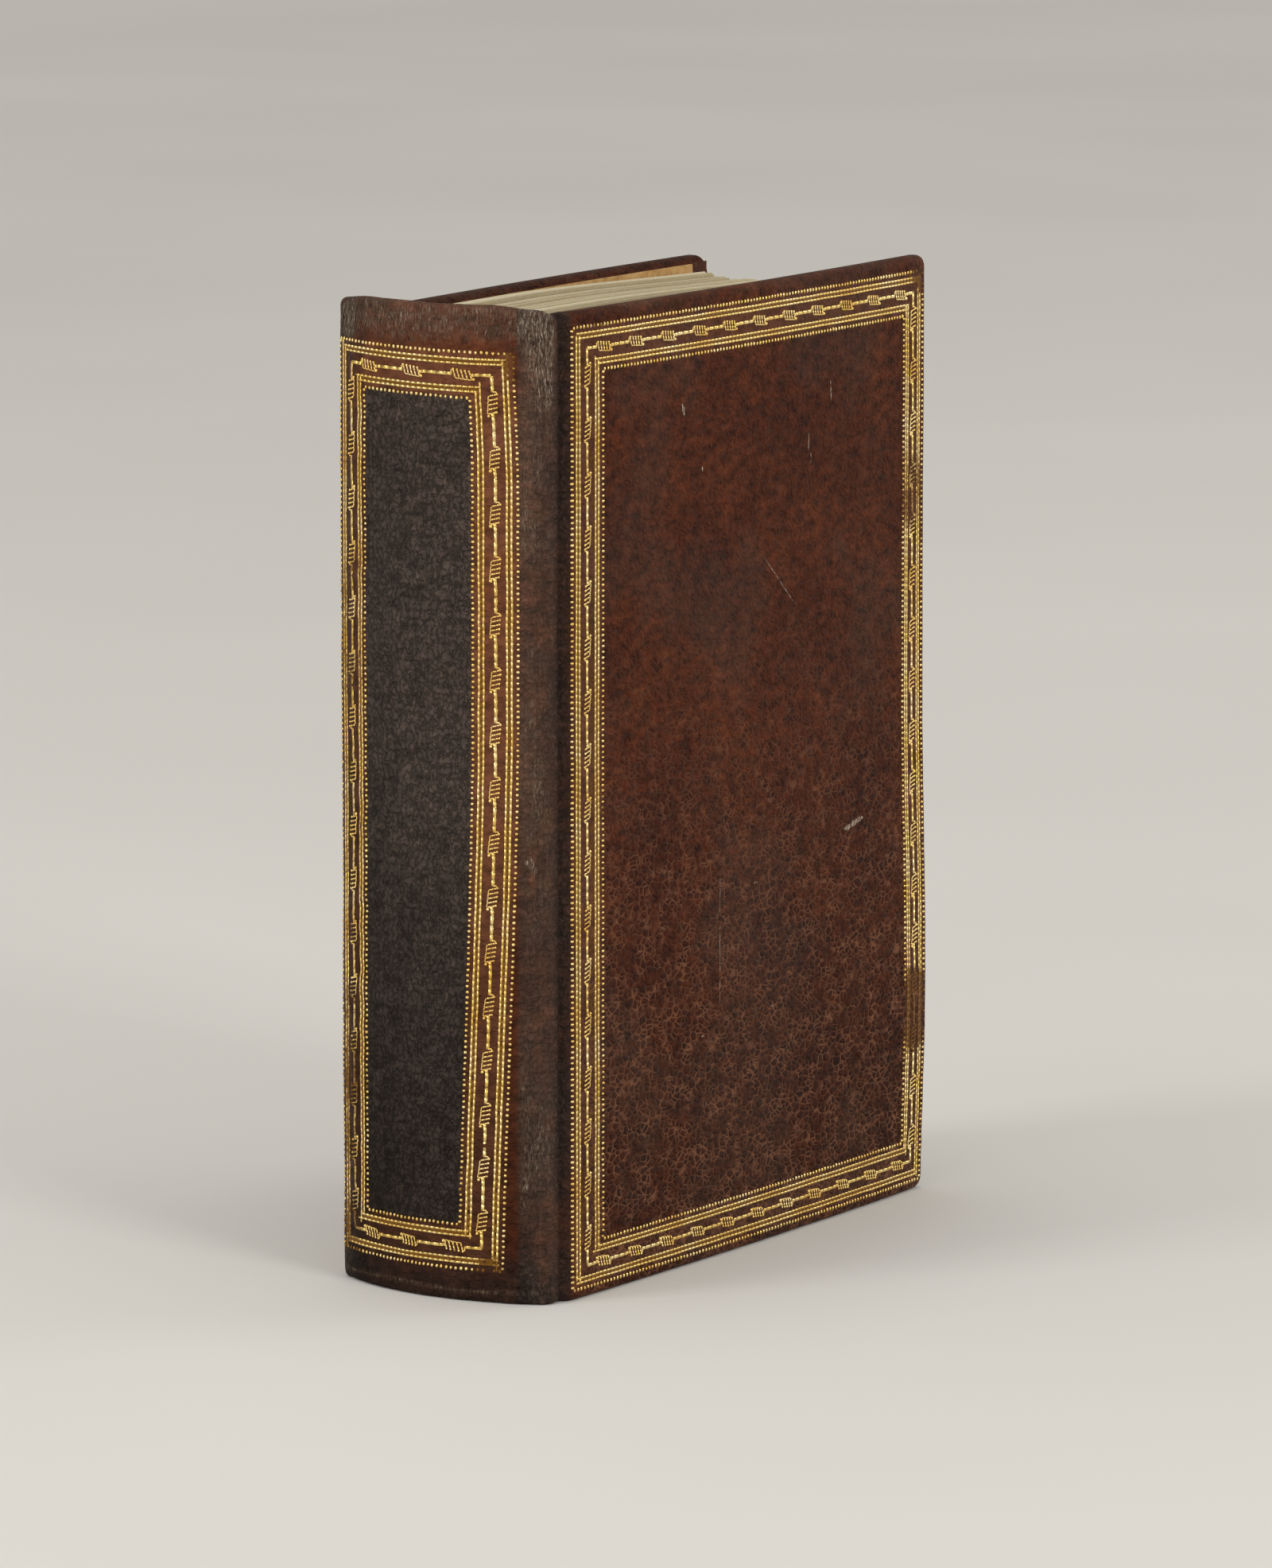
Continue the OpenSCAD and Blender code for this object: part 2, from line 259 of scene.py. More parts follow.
def relief(u, v):
    """Height of the skin over its plan in millimetres: slack, wrinkles and creases."""
    reach = np.abs(u)
    on_spine = 1 - ease(20, 26, reach)
    in_joint = band(25, 31, 2, reach)
    height = 0.10 * blotch(u, v, 34, 34, 1.5) + 0.04 * blotch(u, v, 9, 9, 2.5)
    height += on_cover(u) * (0.04 + 0.05 * (1 - ease(30, 120, v))) * blotch(u, v, 2.9, 2.3, 3.5)
    height += on_spine * (0.17 * blotch(u, v, 6.5, 2.6, 4.5) + 0.15 * blotch(u, v, 2.6, 1.6, 5.5))
    height += in_joint * (0.1 * blotch(u, v, 1.6, 14, 6.5) + 0.08 * blotch(u, v, 1.2, 4, 7.5))
    # Creases where the skin is drawn over the caps
    sway = 0.7 * blotch(u, v * 0, 16, 1, 8.5)
    for level, depth in ((2.4, 0.32), (3.9, 0.2), (5.2, 0.1)):
        height -= (1 - ease(22, 29, reach)) * depth * ridge(v - sway - 0.03 * u, level, 0.34)
    for level, depth in ((196.8, 0.16), (194.6, 0.08)):
        height -= (1 - ease(22, 30, reach)) * depth * ridge(v - sway, level, 0.4)
    worn_head = spot(u, v, (26.5, 196), (5, 14)) + 0.6 * spot(u, v, (-26.5, 195), (4, 10))
    return height + worn_head * 0.16 * blotch(u, v, 0.9, 3.2, 9.5)


# Rubbed places on the joint: the centre, the size and how strongly they are rubbed
joint_spots = (((22.6, 90.2), (1.1, 1.7), 1.4), ((23.5, 88.7), (0.8, 1.5), 0.9),
               ((21.5, 25.0), (0.9, 1.6), 0.9), ((24.6, 104), (3, 9), 0.4))


def wear_of(u, v):
    """How the skin has worn: rubbed grey, blackened with painted shade in the joint's groove, reddened, and
    pale in the creases of the grain.
    """
    reach = np.abs(u)
    front = np.where(u > 0, 1.0, 0.6)
    top = np.where(u > 0, front_top, back_top)
    streak = 0.5 + 0.5 * blotch(u, v, 0.9, 11, 11.5)
    cloud = 0.5 + 0.5 * blotch(u, v, 12, 16, 12.5, 3)
    above_frame = ease(191.5, 194, v) * (1 - ease(23, 27, reach))

    # Rubbed along the shoulders, at the spine's head, on edges and corners and on the fold at the tail
    patchy = 0.25 + 0.75 * ease(0.3, 0.75, cloud)
    rubbed = band(20.6, 27.4, 1.2, reach) * (0.15 + 0.9 * streak) * patchy * front
    rubbed += 1.3 * spot(u, v, (25.2, 193), (5, 18)) * (0.2 + streak) * front
    cap = ease(192.5, 197, v) * (1 - ease(24, 28, reach))
    rubbed += 0.9 * cap * (0.1 + 0.9 * streak) * (0.4 + 0.6 * cloud)
    rubbed += 0.55 * above_frame * (0.3 + 0.7 * cloud)
    near_edge = np.maximum(ease(top - 2.2, top - 0.2, v), 1 - ease(0.2, 2.0, v)) * ease(30, 34, reach)
    near_edge = np.maximum(near_edge, ease(skin_end - 0.8, skin_end + 1.4, reach))
    rubbed += 0.5 * near_edge * cloud
    for corner in (skin_end, 0.0), (skin_end, 200.0):
        rubbed += 0.45 * spot(reach, v, corner, (8, 8)) * cloud
    rubbed += 0.1 * ease(0.6, 0.85, cloud) * on_cover(u)
    fold = 2.3 + 0.6 * blotch(u, v * 0, 16, 1, 8.5)
    rubbed += 0.75 * ridge(v, fold, 0.4) * (1 - ease(20, 27, reach)) * (0.4 + 0.6 * cloud)
    for centre, size, strength in joint_spots:
        rubbed += strength * spot(u, v, centre, size)

    # Blackened inside the spine's frame, in the joints, at the tail and the head, with painted shade in the
    # groove of the joint
    panel = inside_frame(u, v, inset(spine_frame, gilt_border), 0.7)
    # The faint black in the groove of the joint is painted shade
    black = 0.9 * panel + 0.1 * band(27.5, 31.0, 1.0, reach)
    black += 0.7 * band(20.2, 32.6, 0.8, reach) * (0.6 + 0.4 * cloud)
    black += 0.18 * on_cover(u) * ease(0.0, 0.5, blotch(u, v, 30, 36, 13.5, 3))
    black += 0.5 * (1 - ease(2, 14, v)) * (1 - ease(20, 30, reach))
    black += 0.3 * ease(192, 198, v) * (1 - ease(20, 24, reach))

    # Reddened by the gilder's size under the frames, and in spots along the joint
    bordered = inside_frame(u, v, spine_frame, 0.6) - panel
    for corners in front_frame, back_frame:
        bordered += inside_frame(u, v, corners, 0.6) - inside_frame(u, v, inset(corners, gilt_border), 0.6)
    red = 0.8 * bordered + 0.5 * (1 - panel) * (1 - ease(20, 24, reach)) * cloud * (1 - 0.6 * above_frame)
    red += 0.5 * band(22, 31, 1, reach) * ease(0.15, 0.5, blotch(u, v, 3, 7, 14.5))
    red += spot(u, v, (26.4, 86.8), (1.2, 2.6)) + spot(u, v, (22.9, 86.4), (1.0, 3.0))

    # The creases of the grain are paler toward the tail
    creases = on_cover(u) * (0.12 + 0.78 * (1 - ease(40, 150, v)))
    return np.clip(np.stack([rubbed, black, red, creases], -1), 0, 1)


def painted_shade_of(u, v):
    """How much brightness is laid over the skin's colour, darker below 1, lighter above it: mostly painted
    shade and painted light, with some random clouds.
    """
    reach = np.abs(u)
    on_spine = 1 - ease(21, 26, reach)
    low_spine, left_spine = 1 - ease(5, 120, v), 1 - ease(-16, 4, u)
    # Painted shade and light: the spine lighter at its head, darker toward its tail and its left side; the
    # covers a little darker
    shade = 1.2 - on_spine * (0.62 * low_spine + 0.2 * left_spine) - 0.2 * (1 - on_spine)
    # Painted shade in the groove of the joint, painted light on the shoulder
    shade *= 1 - 0.25 * band(28.8, 32.6, 0.9, reach) + 0.08 * band(21, 28, 0.8, reach)
    shade *= 1 - 0.4 * ease(back_top - 1.6, back_top - 0.4, v) * ease(31, 34, -u)
    # Painted shade on the ground of the left side of the spine's frame
    shade *= 1 - 0.35 * band(-25, -16.5, 0.8, u)
    # Painted shade at the tail of the spine and the joints
    shade *= 1 - 0.3 * (1 - ease(1, 9, v)) * (1 - ease(26, 31, reach))
    # Painted shade over the covers, more on their lower part and toward the fore-edge
    low_cover, fore_part = 1 - ease(15, 120, v), ease(90, 150, reach)
    shade *= 1 - (0.07 + 0.31 * low_cover + 0.1 * fore_part) * ease(33, 38, reach)
    # Painted shade in the hollows of the spine's wrinkles and painted light on their crests, from the same
    # noise as the relief
    painted_wrinkle_shade = 0.1 * blotch(u, v, 6.5, 2.6, 4.5) + 0.3 * blotch(u, v, 2.6, 1.6, 5.5)
    return shade * (1 + 0.12 * blotch(u, v, 20, 24, 15.5)) * (1 + on_spine * painted_wrinkle_shade)


def edge_turn(p, thickness, radius):
    """A skin carried round an edge, p from 0 outside to 1 inside: (reach sideways, depth, length)."""
    quarter = radius * math.pi / 2
    flat = np.maximum(thickness - 2 * radius, 0)
    run = p * (2 * quarter + flat)
    first = np.clip(run / radius, 0, math.pi / 2)
    middle = np.clip(run - quarter, 0, flat)
    last = np.clip((run - quarter - flat) / radius, 0, math.pi / 2)
    reach = radius * (np.sin(first) - (1 - np.cos(last)))
    return reach, radius * (1 - np.cos(first)) + middle + radius * np.sin(last), run


def laid(u, v, h):
    """Points h over the worn skin."""
    point, normal = plan_at(u)
    return np.column_stack([point + normal * (relief(u, v) + h)[:, None], v])


def grid_faces(rows, columns, offset=0, flip=False):
    """Quads of a grid of vertices numbered row by row."""
    number = offset + np.arange(rows * columns).reshape(rows, columns)
    quads = np.stack([number[:-1, :-1], number[1:, :-1], number[1:, 1:], number[:-1, 1:]], -1).reshape(-1, 4)
    return (quads[:, ::-1] if flip else quads).tolist()


def make_piece(name, points, faces, material, values=None, weld=0.0, smooth=True):
    """A mesh from points in millimetres, with its named values kept at the points."""
    mesh = bpy.data.meshes.new(name)
    mesh.from_pydata((np.asarray(points, float) * MM).tolist(), [], faces)
    kinds = {1: ("FLOAT", "value"), 3: ("FLOAT_VECTOR", "vector"), 4: ("FLOAT_COLOR", "color")}
    for label, data in (values or {}).items():
        data = np.asarray(data, np.float32)
        kind, field = kinds[1 if data.ndim == 1 else data.shape[1]]
        mesh.attributes.new(label, kind, "POINT").data.foreach_set(field, data.ravel())
    mesh.materials.append(material)
    mesh.polygons.foreach_set("use_smooth", np.full(len(mesh.polygons), smooth))
    if weld:
        work = bmesh.new()
        work.from_mesh(mesh)
        bmesh.ops.remove_doubles(work, verts=work.verts, dist=weld * MM)
        bmesh.ops.dissolve_degenerate(work, dist=weld * MM, edges=work.edges)
        work.to_mesh(mesh)
        work.free()
    mesh.update()
    piece = bpy.data.objects.new(name, mesh)
    bpy.context.scene.collection.objects.link(piece)
    return piece


# Materials

def paint(code):
    """An sRGB hex colour as linear light."""
    parts = [int(code[k:k + 2], 16) / 255 for k in (1, 3, 5)]
    return [c / 12.92 if c <= 0.04045 else ((c + 0.055) / 1.055) ** 2.4 for c in parts] + [1.0]


def add(tree, kind, sockets=None, stops=(), **settings):
    """One node with its settings; an input takes a value or a link from a socket or a node's live output."""
    node = tree.nodes.new("ShaderNode" + kind)
    for label, value in settings.items():
        setattr(node, label, value)
    for label, value in (sockets or {}).items():
        if isinstance(value, bpy.types.Node):
            value = next(output for output in value.outputs if output.enabled)
        if isinstance(value, bpy.types.NodeSocket):
            tree.links.new(value, node.inputs[label])
        else:
            node.inputs[label].default_value = value
    # The stops of a colour ramp are (place, hex colour) pairs
    colours = node.color_ramp.elements if stops else ()
    while len(colours) < len(stops):
        colours.new(0.5)
    for colour, (place, code) in zip(colours, stops):
        colour.position = place
        colour.color = paint(code)
    return node


def start_material(name):
    """A material with an empty tree."""
    material = bpy.data.materials.new(name)
    material.use_nodes = True
    material.node_tree.nodes.clear()
    return material, material.node_tree


def goatskin():
    """Goatskin, vegetable tanned, dyed brown and boarded: pebbled, pale in its creases, rubbed in places."""
    material, tree = start_material("goatskin_boarded_brown")
    skin = add(tree, "Attribute", attribute_name="skin").outputs["Vector"]
    wear = add(tree, "Attribute", attribute_name="wear")
    shade = add(tree, "Attribute", attribute_name="shade").outputs["Fac"]
    parts = add(tree, "SeparateColor", {"Color": wear})
    rubbed, blackened_and_groove_shade, reddened = (parts.outputs[label] for label in ("Red", "Green", "Blue"))

    # The grain sways by about 1 mm, so that no line of it runs straight
    sway = add(tree, "TexNoise", {"Vector": skin, "Scale": 1 / 2.4, "Detail": 3.0}).outputs["Color"]
    swayed = add(tree, "VectorMath", {0: sway, 1: (1.4, 1.2, 0.0), 2: skin}, operation="MULTIPLY_ADD")
    # Pebbles 1.9 mm along the book and 1.3 mm up it, with soft valleys and fine creases between them
    folded = add(tree, "VectorMath", {0: swayed, 1: (1 / 1.9, 1 / 1.3, 1.0)}, operation="MULTIPLY")
    pebble = add(tree, "TexVoronoi", {"Vector": folded, "Scale": 1.0}, feature="DISTANCE_TO_EDGE")
    crease, valley = (add(tree, "MapRange", {"Value": pebble, "From Max": wide, "To Min": 1.0, "To Max": 0.0})
                      for wide in (0.12, 0.34))
    # Pores 0.4 mm wide, clouds of the dye 26 mm wide and runs of worn grain 5 mm wide
    pores, clouds, runs = (add(tree, "TexNoise", {"Vector": skin, "Scale": 1 / wide, "Detail": detail,
                                                  "Roughness": rough})
                           for wide, detail, rough in ((0.4, 4.0, 0.65), (26.0, 6.0, 0.6), (5.0, 3.0, 0.6)))
    # Flecks of the dye 2.2 mm wide, drawn out along the depth of the book
    bent = add(tree, "VectorMath", {0: swayed, 1: (0.62, 1.0, 1.0)}, operation="MULTIPLY")
    flecks = add(tree, "TexNoise", {"Vector": bent, "Scale": 1 / 2.2, "Detail": 4.0, "Roughness": 0.6})
    # Rubbing raises fibres about 0.3 mm wide and 2 mm long, up and down the book
    drawn = add(tree, "VectorMath", {0: swayed, 1: (1 / 0.3, 1 / 2.0, 1.0)}, operation="MULTIPLY")
    fibres = add(tree, "TexNoise", {"Vector": drawn, "Scale": 1.0, "Detail": 4.0, "Roughness": 0.65})
    # Cracks that wander through the skin, 1 to 2 mm apart
    spread = add(tree, "VectorMath", {0: swayed, 1: (1 / 1.3, 1 / 2.1, 1.0)}, operation="MULTIPLY")
    wander = add(tree, "TexNoise", {"Vector": spread, "Scale": 1.0, "Detail": 4.0, "Roughness": 0.6})
    crack = add(tree, "Math", {0: wander, 1: 0.5}, operation="SUBTRACT")
    crack = add(tree, "Math", {0: crack}, operation="ABSOLUTE")
    crack = add(tree, "MapRange", {"Value": crack, "From Max": 0.06, "To Min": 0.75, "To Max": 0.0})

    browns = [(0.3, "#3d1809"), (0.45, "#481e0b"), (0.56, "#4e230e"), (0.7, "#582a13")]
    brown = add(tree, "ValToRGB", {"Fac": clouds}, browns)
    mottle = add(tree, "MapRange", {"Value": flecks, "From Min": 0.3, "From Max": 0.7, "To Min": 0.35,
                                    "To Max": 1.65})
    brown = add(tree, "VectorMath", {0: brown, "Scale": mottle}, operation="SCALE")
    # Painted light on the raised flecks of the blackened skin and painted shade between them, following the
    # flecks that the bump raises
    painted_wrinkle_light = add(tree, "MapRange", {"Value": flecks, "From Min": 0.34, "From Max": 0.66, "To Min": 0.95,
                                     "To Max": 1.25})
    black = add(tree, "VectorMath", {0: paint("#48403a")[:3], "Scale": painted_wrinkle_light}, operation="SCALE")
    colour = add(tree, "Mix", {"Factor": blackened_and_groove_shade, 6: brown, 7: black}, data_type="RGBA")
    redness = add(tree, "Math", {0: flecks, 1: reddened}, operation="MULTIPLY")
    colour = add(tree, "Mix", {"Factor": redness, 6: colour, 7: paint("#754d37")}, data_type="RGBA")
    # Dirt and painted shade lie dark in the valleys and cracks of the blackened skin, and the painted shade
    # of each place is laid over all
    sunken = add(tree, "Math", {0: valley, 1: 0.3, 2: crack}, operation="MULTIPLY_ADD")
    sunken = add(tree, "Math", {0: sunken, 1: blackened_and_groove_shade}, operation="MULTIPLY")
    dirt_and_painted_shade = add(tree, "MapRange", {"Value": sunken, "To Min": 1.0, "To Max": 0.34})
    dirt_and_painted_shade = add(tree, "Math", {0: dirt_and_painted_shade, 1: shade}, operation="MULTIPLY")
    colour = add(tree, "VectorMath", {0: colour, "Scale": dirt_and_painted_shade}, operation="SCALE")
    # Rubbing bares the grey fibres
    scuffing = add(tree, "MapRange", {"Value": fibres, "From Min": 0.4, "From Max": 0.7})
    rub = add(tree, "Math", {0: scuffing, 1: rubbed}, operation="MULTIPLY")
    bared = add(tree, "ValToRGB", {"Fac": rub}, [(0.25, "#75604f"), (0.9, "#b5a894")])
    colour = add(tree, "Mix", {"Factor": rub, 6: colour, 7: bared}, data_type="RGBA")
    # Along the folds of the grain the colour is paler, here and there
    shown = add(tree, "MapRange", {"Value": runs, "From Min": 0.36, "From Max": 0.6})
    pale = crease
    for factor in wear.outputs["Alpha"], shown, 0.85:
        pale = add(tree, "Math", {0: pale, 1: factor}, operation="MULTIPLY")
    colour = add(tree, "Mix", {"Factor": pale, 6: colour, 7: paint("#85593f")}, data_type="RGBA")

    height = add(tree, "Math", {0: pores, 1: 0.35}, operation="MULTIPLY")
    for layer, amount in ((valley, -0.7), (flecks, 1.2), (sunken, -0.7)):
        height = add(tree, "Math", {0: layer, 1: amount, 2: height}, operation="MULTIPLY_ADD")
    bump = add(tree, "Bump", {"Height": height, "Strength": 1.0, "Distance": 0.45 * MM})
    gloss = add(tree, "MapRange", {"Value": rub, "To Min": 0.48, "To Max": 0.8})
    shader = add(tree, "BsdfPrincipled", {"Base Color": colour, "Roughness": gloss, "Normal": bump,
                                          "IOR": 1.46, "Specular IOR Level": 0.06})
    add(tree, "OutputMaterial", {"Surface": shader})
    return material


def gold_leaf():
    """Gold leaf laid by a hot tool on leather: bright metal, dull and brown where it is handled away."""
    material, tree = start_material("gold_leaf_hot_tooled")
    skin = add(tree, "Attribute", attribute_name="skin").outputs["Vector"]
    rubbed = add(tree, "Attribute", attribute_name="rubbed").outputs["Fac"]
    # Breaks in the leaf about 0.7 mm across, tarnish in clouds of 9 mm
    breaks = add(tree, "TexNoise", {"Vector": skin, "Scale": 1 / 0.7, "Detail": 4.0, "Roughness": 0.65})
    tarnish = add(tree, "TexNoise", {"Vector": skin, "Scale": 1 / 9.0, "Detail": 3.0})
    gone = add(tree, "Math", {0: breaks, 1: rubbed}, operation="ADD")
    gone = add(tree, "MapRange", {"Value": gone, "From Min": 0.86, "From Max": 1.1})
    bright = add(tree, "ValToRGB", {"Fac": tarnish}, [(0.3, "#e6b75c"), (0.5, "#f8d682"), (0.7, "#ffe9ae")])
    colour = add(tree, "Mix", {"Factor": gone, 6: bright, 7: paint("#724b12")}, data_type="RGBA")
    metal = add(tree, "Math", {0: 1.0, 1: gone}, operation="SUBTRACT")
    gloss = add(tree, "MapRange", {"Value": breaks, "To Min": 0.16, "To Max": 0.44})
    bump = add(tree, "Bump", {"Height": breaks, "Strength": 0.6, "Distance": 0.05 * MM})
    shader = add(tree, "BsdfPrincipled", {"Base Color": colour, "Metallic": metal, "Roughness": gloss,
                                          "Normal": bump, "Specular IOR Level": 0.15})
    add(tree, "OutputMaterial", {"Surface": shader})
    return material


def vellum():
    """Calf vellum, scraped and dried under tension: cream skin with faint veins, each leaf its own tone."""
    material, tree = start_material("vellum_scraped")
    skin = add(tree, "Attribute", attribute_name="skin").outputs["Vector"]
    leaf = add(tree, "Attribute", attribute_name="leaf").outputs["Fac"]
    # Veins about 7 mm apart, specks of 0.6 mm
    veins = add(tree, "TexNoise", {"Vector": skin, "Scale": 1 / 7.0, "Detail": 6.0, "Roughness": 0.6})
    specks = add(tree, "TexNoise", {"Vector": skin, "Scale": 1 / 0.6, "Detail": 3.0})
    tone = add(tree, "Math", {0: veins, 1: 0.6, 2: leaf}, operation="MULTIPLY_ADD")
    tone = add(tree, "MapRange", {"Value": tone, "From Max": 1.6})
    creams = [(0.1, "#8c7b5d"), (0.4, "#b4a582"), (0.65, "#cbbf9d"), (0.9, "#dfd7bb")]
    cream = add(tree, "ValToRGB", {"Fac": tone}, creams)
    shadow = add(tree, "MapRange", {"Value": specks, "From Min": 0.3, "From Max": 0.7, "To Min": 0.86,
                                    "To Max": 1.05})
    cream = add(tree, "VectorMath", {0: cream, "Scale": shadow}, operation="SCALE")
    bump = add(tree, "Bump", {"Height": veins, "Strength": 0.3, "Distance": 0.2 * MM})
    gloss = add(tree, "MapRange", {"Value": specks, "To Min": 0.55, "To Max": 0.75})
    shader = add(tree, "BsdfPrincipled", {"Base Color": cream, "Roughness": gloss, "Normal": bump, "IOR": 1.5,
                                          "Specular IOR Level": 0.3})
    add(tree, "OutputMaterial", {"Surface": shader})
    return material


def fibre_stuff(name, tones, fibre, stretch, rough, depth):
    """Paper, board, cloth or thong: fibres fibre millimetres wide, longer by stretch, on a mottled ground."""
    material, tree = start_material(name)
    place = add(tree, "TexCoord").outputs["Object"]
    long = add(tree, "Mapping", {"Vector": place, "Scale": (1, 1 / stretch, 1 / stretch)})
    fibres = add(tree, "TexNoise", {"Vector": long, "Scale": 1 / (fibre * MM), "Detail": 5.0,
                                    "Roughness": 0.65})
    mottle = add(tree, "TexNoise", {"Vector": place, "Scale": 1 / (14 * MM), "Detail": 4.0})
    tone = add(tree, "Math", {0: mottle, 1: 0.4, 2: fibres}, operation="MULTIPLY_ADD")
    tone = add(tree, "MapRange", {"Value": tone, "From Min": 0.35, "From Max": 1.05})
    colour = add(tree, "ValToRGB", {"Fac": tone}, tones)
    bump = add(tree, "Bump", {"Height": fibres, "Strength": 0.5, "Distance": depth * MM})
    gloss = add(tree, "MapRange", {"Value": fibres, "To Min": rough - 0.1, "To Max": rough + 0.1})
    shader = add(tree, "BsdfPrincipled", {"Base Color": colour, "Roughness": gloss, "Normal": bump,
                                          "IOR": 1.5, "Specular IOR Level": 0.25})
    add(tree, "OutputMaterial", {"Surface": shader})
    return material


cover_skin = goatskin()
gold = gold_leaf()
vellum_skin = vellum()
# Handmade paper, sized and pasted down: buff, soft, with felt marks
pastedown_paper = fibre_stuff("paper_handmade_buff", [(0.2, "#a67d4b"), (0.5, "#c1975e"), (0.8, "#d3ad77")],
                              fibre=0.5, stretch=4, rough=0.85, depth=0.05)
# Pasteboard made of layered waste paper: grey brown, coarse
pasteboard = fibre_stuff("pasteboard_layered", [(0.2, "#6d5a43"), (0.5, "#8a7357"), (0.8, "#9d876a")],
                         fibre=0.8, stretch=2, rough=0.9, depth=0.1)
# Linen lining glued over the back: pale, stiff with glue
lining_cloth = fibre_stuff("linen_glued", [(0.2, "#8b7a5c"), (0.5, "#a89573"), (0.8, "#bcab89")],
                           fibre=0.6, stretch=3, rough=0.85, depth=0.1)
# Tawed thongs for sewing on: off white, fibrous
thong_skin = fibre_stuff("thong_alum_tawed", [(0.2, "#a3977f"), (0.5, "#bdb197"), (0.8, "#cfc5ac")],
                         fibre=0.5, stretch=5, rough=0.85, depth=0.1)
# Silk thread wound over a core: faded red and straw
band_silk = fibre_stuff("silk_thread_wound", [(0.25, "#6b3a2c"), (0.5, "#94694a"), (0.75, "#b99a68")],
                        fibre=0.5, stretch=2, rough=0.6, depth=0.1)


# Leather

def cover_leather(name, side, top, corner, node):
    """The skin of one cover from the shoulder over the joint and board, turned in round three edges."""
    joint_step, face_step, fine_end = 0.3, 0.66, board_u + 1.5
    columns = np.concatenate([np.arange(seam_u, fine_end, joint_step),
                              np.arange(fine_end, skin_end, face_step), [skin_end]])
    around = np.linspace(0, 1, 12)[1:]
    u = np.concatenate([columns, np.full(len(around), skin_end)])
    past = np.concatenate([np.zeros(len(columns)), around])
    # From the cap's height at the shoulder to the board's, with a dip over the joint
    cap_end = cap_top - cap_fall
    high = cap_end + (top - cap_end) * ease(24.5, 30.5, u) - 0.6 * band(27.0, 31.0, 1.8, u)
    thick = joint_thickness + (cover_thickness - joint_thickness) * ease(27.5, 29.5, u)
    radius = np.minimum(edge_round, thick / 2 - 0.02)
    rows = int(top / face_step)
    share = np.concatenate([np.zeros(len(around)), np.linspace(0, 1, rows), np.ones(len(around))])
    over = np.concatenate([-around[::-1], np.zeros(rows), around])
    uu, shares = np.meshgrid(u, share, indexing="ij")
    past_edge, over_edge = np.meshgrid(past, over, indexing="ij")
    tops, thicks, radii = (np.meshgrid(x, share, indexing="ij")[0] for x in (high, thick, radius))
    vv = radii + shares * (tops - 2 * radii)
    # Near a corner the square of the grid is drawn in to a quarter circle
    middle = tops / 2
    ahead = np.clip(1 - (skin_end - uu) / corner, 0, 1)
    aloft = np.clip(1 - (middle - radii - np.abs(vv - middle)) / corner, 0, 1)
    rounded = (ahead > 0) & (aloft > 0)
    out_a, out_b = ahead * np.sqrt(1 - aloft ** 2 / 2), aloft * np.sqrt(1 - ahead ** 2 / 2)
    above = np.where(vv > middle, 1.0, -1.0)
    uu = np.where(rounded, skin_end - corner * (1 - out_a), uu)
    vv = np.where(rounded, middle + above * (middle - radii - corner * (1 - out_b)), vv)
    far = np.maximum(np.hypot(out_a, out_b), 1e-9)
    along = np.where(rounded, out_a / far, np.where(past_edge > 0, 1.0, 0.0))
    upward = np.where(rounded, above * out_b / far, np.where(over_edge != 0, np.sign(over_edge), 0.0))
    progress = np.maximum(past_edge, np.abs(over_edge))
    reach, depth, run = edge_turn(progress, thicks, radii)
    point, normal = plan_at(side * uu)
    lift = relief(side * uu, vv) * (1 - ease(0.2, 0.7, progress))
    # In the hollow of the joint the folded edge lies straight across, so that it does not cross itself
    straight = (ease(27.6, 28.6, uu) * (1 - ease(board_u + 0.5, board_u + 4, uu)))[..., None]
    inward = normal * (1 - straight) + np.array([side, 0.0]) * straight
    xyz = np.zeros(uu.shape + (3,))
    xyz[..., :2] = point + normal * lift[..., None] - inward * depth[..., None]
    xyz[..., 0] += reach * along * -normal[..., 1] * side
    xyz[..., 1] += reach * along * normal[..., 0] * side
    xyz[..., 2] = vv + reach * upward
    skin = np.stack([side * (uu + run * along), vv + run * upward, np.zeros_like(uu)], -1)
    wear = wear_of(side * (uu + reach * along), vv + reach * upward)
    shade = painted_shade_of(side * uu, vv + reach * upward)
    points, skins = [xyz.reshape(-1, 3)], [skin.reshape(-1, 3)]
    wears, shades = [wear.reshape(-1, 4)], [shade.reshape(-1, 1)]
    faces = grid_faces(*uu.shape, flip=side < 0)
    count = uu.size

    # Turn-ins inside the board at head, tail and fore-edge, mitred at the corners, with cut edges
    steps = np.array([0, 0.25, 0.5, 0.75, 1.0, 1.0])
    sink = np.array([0, 0, 0, 0, 0, turn_in_thickness])
    edge_y, low_z, high_z = fore_edge_y - edge_round, edge_round, top - edge_round
    widest = turn_in_width - edge_round
    y = np.interp(columns[columns >= board_u], plan_length, plan_points[:, 1])[:, None]
    z = (low_z + np.linspace(0, 1, rows) * (high_z - low_z))[:, None]
    across = np.minimum(widest, edge_y - y) * steps
    from_fore = np.minimum(widest, np.minimum(z - low_z, high_z - z)) * steps
    strips = ((y + 0 * steps, high_z - across, side < 0), (y + 0 * steps, low_z + across, side > 0),
              (edge_y - from_fore, z + 0 * steps, side < 0))
    for ys, zs, flip in strips:
        points.append(np.stack([side * (bowed_x(ys) - cover_thickness + sink), ys, zs], -1).reshape(-1, 3))
        skins.append(np.stack([side * (face_u(ys) + 200), zs, 0 * zs], -1).reshape(-1, 3))
        wears.append(np.tile([0.0, 0.25, 0.2, 0.0], (ys.size, 1)))
        shades.append(np.ones((ys.size, 1)))
        faces += grid_faces(*ys.shape, offset=count, flip=flip)
        count += ys.size
    values = {"skin": np.concatenate(skins), "wear": np.concatenate(wears),
              "shade": np.concatenate(shades).ravel()}
    piece = make_piece(name, gaped(np.concatenate(points), side), faces, cover_skin, values, weld=0.004)
    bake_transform(piece)
    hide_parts(node)


